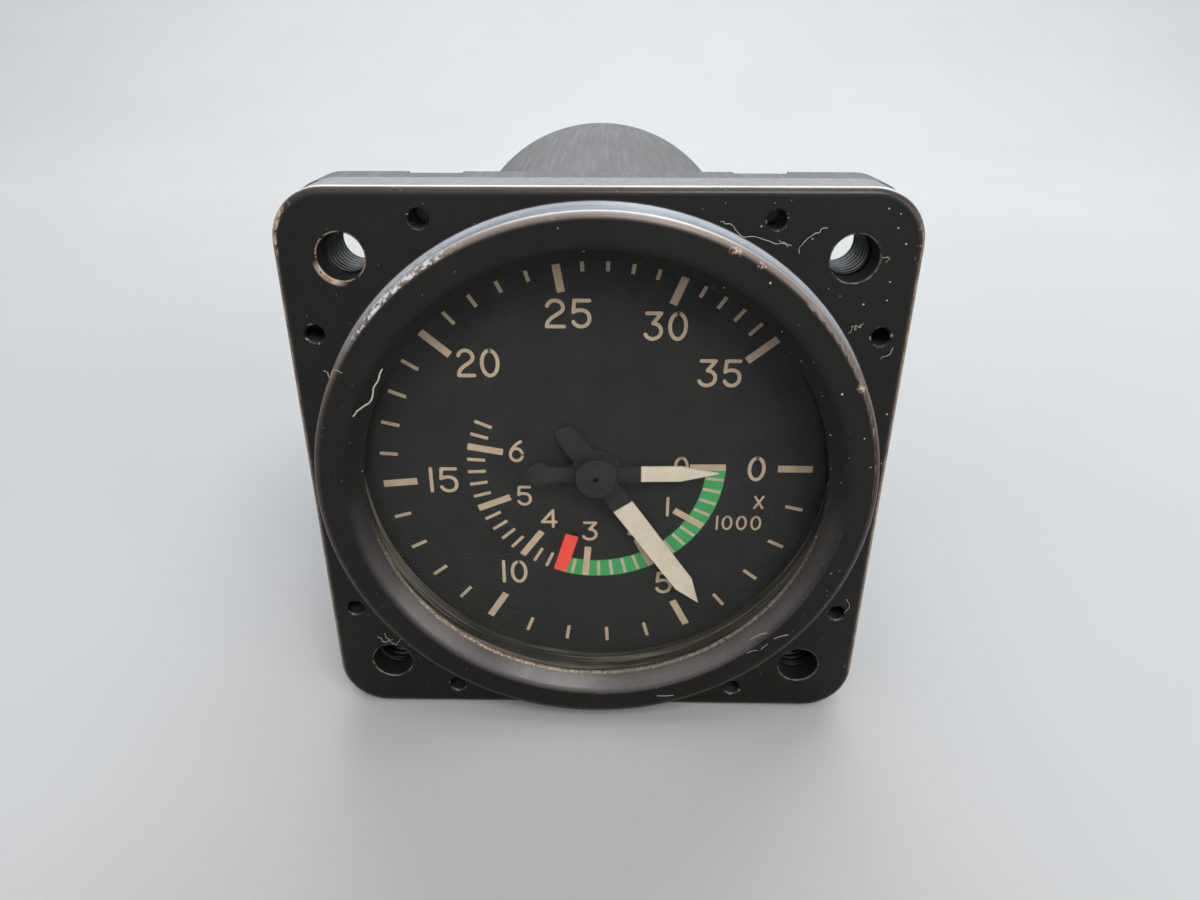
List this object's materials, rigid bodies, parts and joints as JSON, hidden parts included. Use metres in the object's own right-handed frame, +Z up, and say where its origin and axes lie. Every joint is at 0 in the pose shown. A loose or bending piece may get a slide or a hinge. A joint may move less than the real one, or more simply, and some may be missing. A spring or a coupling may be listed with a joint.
{
  "type": "cabin pressure indicator",
  "caption": "Panel instrument with a square flange, round window, cabin altitude and differential pressure pointers, and a long round case with rear ports.",
  "frame": {"origin": "centre of the mounting hole pattern on the flange's front face", "axes": "-Y out of the dial towards the reader, +Y along the case to its rear ports, +Z up through the dial, +X to the reader's right"},
  "size_m": [0.0604, 0.1091, 0.0604],
  "materials": {
    "cast_black": "satin black paint on a casting, worn at the edges",
    "case_black": "satin black paint, dusty",
    "seal_rubber": "matt",
    "window": "polished",
    "spacer_black": "matt dark paint",
    "dial_charcoal": "matt paint with printed scales",
    "pointer_cream": "matt paint, black at the hub",
    "dark_steel": "blackened",
    "steel": "plain",
    "brass": "plain",
    "plate_aluminium": "plain",
    "jewel": "polished",
    "spring_bronze": "plain",
    "capsule_copper": "bright",
    "port_brass": "dull",
    "tube_copper": "dull",
    "screen_steel": "fine mesh"
  },
  "bodies": {
    "housing": {"altitude_capsule": "capsule_copper", "altitude_hairspring": "spring_bronze", "arbor_jewel": "jewel", "bezel": "cast_black", "capsule_nuts": "brass", "capsule_rail": "plate_aluminium", "case": "case_black", "case_screws": "dark_steel", "case_seal": "seal_rubber", "centre_plate": "brass", "dial_plate": "dial_charcoal", "diff_capsule": "capsule_copper", "diff_hairspring": "spring_bronze", "frame_screws": "steel", "front_gasket": "seal_rubber", "front_pillars": "brass", "front_plate": "brass", "hairspring_studs": "brass", "middle_pillars": "brass", "middle_plate": "brass", "mount_inserts": "dark_steel", "movement_screws": "steel", "rear_gasket": "seal_rubber", "rear_pillars": "brass", "rear_plate": "brass", "shaft_jewels": "jewel", "spacer_ring": "spacer_black", "static_fitting": "port_brass", "static_tube": "tube_copper", "top_pillar": "brass", "tube_bush": "brass", "vent_fitting": "port_brass", "vent_screen": "screen_steel", "window_glass": "window"},
    "altitude_rocker": {"altitude_sector": "brass", "altitude_shaft": "steel"},
    "altitude_hand": {"altitude_pinion": "steel", "altitude_pointer": "pointer_cream"},
    "altitude_rod": {"altitude_link": "steel"},
    "altitude_drive": {"altitude_post": "brass"},
    "diff_rocker": {"diff_sector": "brass", "diff_shaft": "steel"},
    "diff_hand": {"diff_pinion": "steel", "diff_pointer": "pointer_cream"},
    "diff_rod": {"diff_link": "steel"},
    "diff_drive": {"diff_post": "brass"}
  },
  "joints": [
    {"name": "altitude_sector_turn", "type": "hinge", "parent": "housing", "child": "altitude_rocker", "pos_m": [0.006, 0.00925, -0.01537], "axis": [0, 1, 0], "range_deg": [-27.14, 5.98]},
    {"name": "altitude_pointer_turn", "type": "hinge", "parent": "housing", "child": "altitude_hand", "pos_m": [0, 0.007, 0], "axis": [0, 1, 0], "range_deg": [-59.8, 271.5]},
    {"name": "altitude_link_swing", "type": "hinge", "parent": "altitude_rocker", "child": "altitude_rod", "pos_m": [0.0001, 0.036, -0.01427], "axis": [0, 1, 0], "range_deg": [-6, 27.2]},
    {"name": "altitude_post_slide", "type": "slide", "parent": "housing", "child": "altitude_drive", "axis": [0, 0, 1], "range_m": [-0.00285, 0.00065], "deforming": ["altitude_capsule"]},
    {"name": "diff_sector_turn", "type": "hinge", "parent": "housing", "child": "diff_rocker", "pos_m": [-0.006, 0.00925, -0.01537], "axis": [0, 1, 0], "range_deg": [-21, 0.3]},
    {"name": "diff_pointer_turn", "type": "hinge", "parent": "housing", "child": "diff_hand", "pos_m": [0, 0.0185, 0], "axis": [0, 1, 0], "range_deg": [-3.1, 210.1]},
    {"name": "diff_link_swing", "type": "hinge", "parent": "diff_rocker", "child": "diff_rod", "pos_m": [-0.0001, 0.0705, -0.01645], "axis": [0, 1, 0], "range_deg": [-0.4, 21.1]},
    {"name": "diff_post_slide", "type": "slide", "parent": "housing", "child": "diff_drive", "axis": [0, 0, 1], "range_m": [-0.0001, 0.0023], "deforming": ["diff_capsule"]}
  ],
  "couplings": [
    {"joint": "altitude_pointer_turn", "follows": "altitude_sector_turn", "ratio": -10},
    {"joint": "altitude_link_swing", "follows": "altitude_sector_turn", "ratio": -1},
    {"joint": "altitude_post_slide", "follows": "altitude_sector_turn", "m_per_rad": 0.005917},
    {"joint": "diff_pointer_turn", "follows": "diff_sector_turn", "ratio": -10},
    {"joint": "diff_link_swing", "follows": "diff_sector_turn", "ratio": -1},
    {"joint": "diff_post_slide", "follows": "diff_sector_turn", "m_per_rad": -0.005967}
  ]
}
